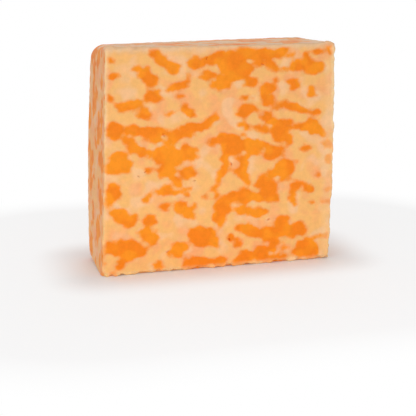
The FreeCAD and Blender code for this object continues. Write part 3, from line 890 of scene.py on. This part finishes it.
def rim_highlight_and_pale_end(tree, place, colour, moulded, x, y, z):
    """Paints the cut's rim paler as a highlight where the worn edge catches light, the rim more towards the
    top, and the cut's right-hand end paler too.
    """
    rim = ramp(tree, unsteady(tree, place, stored(tree, "from_cut_edge"), *UNSTEADY_RIM), *RIM)
    rim = product(tree, rim, behind_cut(tree, y, *TURN, 1.0, 0.0), ramp(tree, z, *RIM_HEIGHTS))
    right_end = ramp(tree, x, high[0] - RIGHT_END[0], high[0] - RIGHT_END[1], 0.0, 0.3)
    right_end = product(tree, right_end, reckon(tree, "SUBTRACT", 1.0, moulded),
                        below_top(tree, z, *RIGHT_END_TOP))
    # The pale colour of the rim is a painted highlight.
    highlight_and_dry_top = mix_colours(tree, below_top(tree, z, *GREYER), RIM_HIGHLIGHT, DRY_TOP)
    return mix_colours(tree, reckon(tree, "MAXIMUM", rim, right_end), colour, highlight_and_dry_top)


def darkened(tree, place, colour, at_top, y):
    """Just behind the cut's upright edges the mould face has darkened, in stretches."""
    band = product(tree, behind_cut(tree, y, *TURN), behind_cut(tree, y, *BAND, 1.0, 0.0),
                   ramp(tree, noise(tree, place, 12 * MM, 2.0), *STRETCHES),
                   ramp(tree, at_top, 0.0, 0.3, 1.0, 0.0))
    return mix_colours(tree, band, colour, ANNATTO_DEEP)


print("rim and band end, mm:", RIM[1], "and", round(BAND[1] / MM))

# %% Mottling, and painted light that makes the lower part lighter
FINE_MOTTLE, BROAD_MOTTLE = (1.1 * MM, 4.0, 0.11), (4 * MM, 3.0, 0.20)  # length, detail and amount
PAINTED_LIGHT_AT_FOOT, PAINTED_LIGHT_AT_TOP = 1.035, 0.97  # painted light: the lower part is a trace lighter than the upper one


def mottled_with_painted_light(tree, place, colour, z):
    """Fine mottling, of a few parts in a hundred, and painted light that makes the lower part a trace
    lighter.
    """
    level = unsteady(tree, place, unsteady(tree, place, 1.0, *FINE_MOTTLE), *BROAD_MOTTLE)
    # Painted light: the colour is a trace lighter towards the foot and a trace darker towards the top.
    level = product(tree, level, ramp(tree, z, 0.0, high[2], PAINTED_LIGHT_AT_FOOT, PAINTED_LIGHT_AT_TOP))
    return vector_sum(tree, "SCALE", colour, level)


print("mottling, length in mm:", [round(mottle[0] / MM, 1) for mottle in (FINE_MOTTLE, BROAD_MOTTLE)])

# %% The whole material
SURFACE = {
    "Subsurface Weight": 0.18,
    "Subsurface Radius": (1.0, 0.45, 0.18),
    "Subsurface Scale": 3.5 * MM,
    "IOR": 1.36,
    "Specular IOR Level": 0.30,
    "Sheen Weight": 0.08,
    "Sheen Roughness": 0.35,
}
ROUGHNESS = (0.55, 3 * MM, 3.0, 0.2)  # the level, and the length, detail and amount of its noise
MOULD_FACE, TOP_FACE = (1 * MM, 4 * MM), (4 * MM, 1 * MM)  # distances behind the cut, and below the top
BUMP_STRENGTH, BUMP_HEIGHT = 0.35, 0.12 * MM
FINE_BUMPS, BROAD_BUMPS, FINE_SHARE = (0.9 * MM, 3.0), (4 * MM, 2.0), 0.35


def cheese_nodes(material):
    """Fills the cheese's material."""
    material.use_nodes = True
    tree = material.node_tree
    tree.nodes.clear()
    place = add(tree, "ShaderNodeTexCoord", pick=3)
    x, y, z = parts(tree, place)
    moulded = behind_cut(tree, y, *MOULD_FACE)
    at_top = below_top(tree, z, *TOP_FACE)

    depth, amount = coloured_share(tree, place, moulded)
    cream, annatto = curd_colours(tree, place, depth, z)
    colour = mix_colours(tree, amount, cream, annatto)
    colour = dulled(tree, colour, amount, moulded, at_top)
    colour = rim_highlight_and_pale_end(tree, place, colour, moulded, x, y, z)
    colour = darkened(tree, place, colour, at_top, y)
    colour = mottled_with_painted_light(tree, place, colour, z)

    bumps = product(tree, noise(tree, place, *FINE_BUMPS), FINE_SHARE)
    bumps = reckon(tree, "ADD", bumps, noise(tree, place, *BROAD_BUMPS))
    shader = tree.nodes.new("ShaderNodeBsdfPrincipled")
    tree.links.new(colour, shader.inputs["Base Color"])
    tree.links.new(unsteady(tree, place, *ROUGHNESS), shader.inputs["Roughness"])
    tree.links.new(add(tree, "ShaderNodeBump", BUMP_STRENGTH, BUMP_HEIGHT, None, bumps),
                   shader.inputs["Normal"])
    for name, value in SURFACE.items():
        shader.inputs[name].default_value = value
    end = tree.nodes.new("ShaderNodeOutputMaterial")
    tree.links.new(shader.outputs[0], end.inputs["Surface"])


cheese_nodes(cheese)
print("material:", len(cheese.node_tree.nodes), "nodes")

# %% Hand the block over
block.data.materials.clear()
block.data.materials.append(cheese)
for polygon in block.data.polygons:
    polygon.use_smooth = True
for helper in (cut_edge, gap_places, curd_centres):
    bpy.data.objects.remove(helper)
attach(block, "root")
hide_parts(NODE)
print("piece:", block.name, "with", len(block.data.polygons), "faces")

# %% [markdown]
# ## Floor, light and camera
#
# The block stands in a white studio.  The floor keeps the block's soft shadow, and away from the block it
# turns into plain white.  More light would whiten it too, but would also bleach the cheese, so it turns
# white for the camera alone and never throws more light on the block.
#
# A large soft lamp in front is the main light.  Fills at the left, behind and above keep the other faces
# clear, and a small one low in front lights the lower part of the cut, as a white table does.

# %% The floor
FLOOR_HALF = 4.0
PAPER = (0.93, 0.93, 0.94, 1.0)
WHITE = (1.0, 1.0, 1.0, 1.0)
SHADOW_REACH, WHITE_FROM = 0.05, 0.22  # metres from the block
HALF_WHITE = 0.7  # how white the floor is at the shadow's reach


def unlit_ray(tree):
    """1 for a ray from the camera, a mirror or glass, and 0 for one that lights a surface."""
    outputs = tree.nodes.new("ShaderNodeLightPath").outputs
    rays = [outputs[name] for name in ("Is Camera Ray", "Is Glossy Ray", "Is Transmission Ray")]
    return reckon(tree, "MAXIMUM", rays[0], reckon(tree, "MAXIMUM", rays[1], rays[2]))


def floor_nodes(material):
    """White paper that shows a shadow near the block and plain white further off."""
    material.use_nodes = True
    tree = material.node_tree
    tree.nodes.clear()
    place = add(tree, "ShaderNodeTexCoord", pick=3)
    outside = vector_sum(tree, "SUBTRACT", vector_sum(tree, "ABSOLUTE", place), tuple(high))
    distance = vector_sum(tree, "LENGTH", vector_sum(tree, "MAXIMUM", outside, (0.0, 0.0, 0.0)))
    whiter = reckon(tree, "MAXIMUM", ramp(tree, distance, 0.0, SHADOW_REACH, 0.0, HALF_WHITE),
                    ramp(tree, distance, SHADOW_REACH, WHITE_FROM))
    matt = add(tree, "ShaderNodeBsdfDiffuse", PAPER)
    glow = add(tree, "ShaderNodeEmission", WHITE, 1.0)
    mixed = add(tree, "ShaderNodeMixShader", product(tree, whiter, unlit_ray(tree)), matt, glow)
    tree.links.new(mixed, tree.nodes.new("ShaderNodeOutputMaterial").inputs["Surface"])


floor = add_object("floor", [(x * FLOOR_HALF, y * FLOOR_HALF, 0) for x, y in
                             ((-1, -1), (1, -1), (1, 1), (-1, 1))], [(0, 1, 2, 3)])
paper = bpy.data.materials.new("white_paper")
floor_nodes(paper)
floor.data.materials.append(paper)
print("floor:", 2 * FLOOR_HALF, "m square")

# %% The world
WORLD_LEVEL = 0.54

world = bpy.data.worlds.new("studio")
bpy.context.scene.world = world
world.use_nodes = True
tree = world.node_tree
tree.nodes.clear()
room = add(tree, "ShaderNodeBackground", WHITE, WORLD_LEVEL)
white = add(tree, "ShaderNodeBackground", WHITE, 1.0)
tree.links.new(add(tree, "ShaderNodeMixShader", unlit_ray(tree), room, white),
               tree.nodes.new("ShaderNodeOutputWorld").inputs["Surface"])
print("world's own light:", WORLD_LEVEL)

# %% The lamps
CENTRE, FOOT = tuple(middle), (0.0, 0.0, 0.0)
LAMPS = [  # name, place, what it looks at, side length, watts, and whether it shows in gloss
    ("key", (0.3, -1.7, 0.8), CENTRE, 1.4, 3.2, True),
    ("side_fill", (-1.5, -0.9, 0.6), CENTRE, 1.2, 5.2, False),
    ("back_fill", (0.5, 1.6, 0.3), CENTRE, 1.0, 6.0, False),
    ("low_fill", (-0.05, -0.5, 0.08), FOOT, 0.14, 0.52, False),
    ("top_fill", (0.0, 0.4, 1.5), CENTRE, 1.2, 3.0, False),
]


def soft_lamp(name, place, aim, size, power, shows_in_gloss):
    """Square lamp at a place that looks at a point."""
    light = bpy.data.lights.new(name, "AREA")
    light.size, light.energy = size, power
    lamp = bpy.data.objects.new(name, light)
    lamp.location = place
    lamp.visible_glossy = shows_in_gloss
    lamp.visible_camera = False
    lamp.rotation_euler = (Vector(aim) - Vector(place)).to_track_quat("-Z", "Y").to_euler()
    bpy.context.scene.collection.objects.link(lamp)


for lamp in LAMPS:
    soft_lamp(*lamp)
print("lamps:", [name for name, *_ in LAMPS])

# %% The camera
PITCH, YAW = math.radians(13.978), math.radians(15.724)
FOCAL_LENGTH, SENSOR = 79.84, 36.0
STAND = (-0.2014, -0.7138, 0.2268)

lens = bpy.data.cameras.new("camera")
lens.lens, lens.sensor_width = FOCAL_LENGTH, SENSOR
camera = bpy.data.objects.new("camera", lens)
camera.location = STAND
camera.rotation_euler = (math.pi / 2 - PITCH, 0.0, -YAW)
bpy.context.scene.collection.objects.link(camera)
bpy.context.scene.camera = camera
bpy.context.scene.view_settings.view_transform = "Standard"
print("camera's distance from the block's middle, m:", round((Vector(STAND) - Vector(middle)).length, 3))
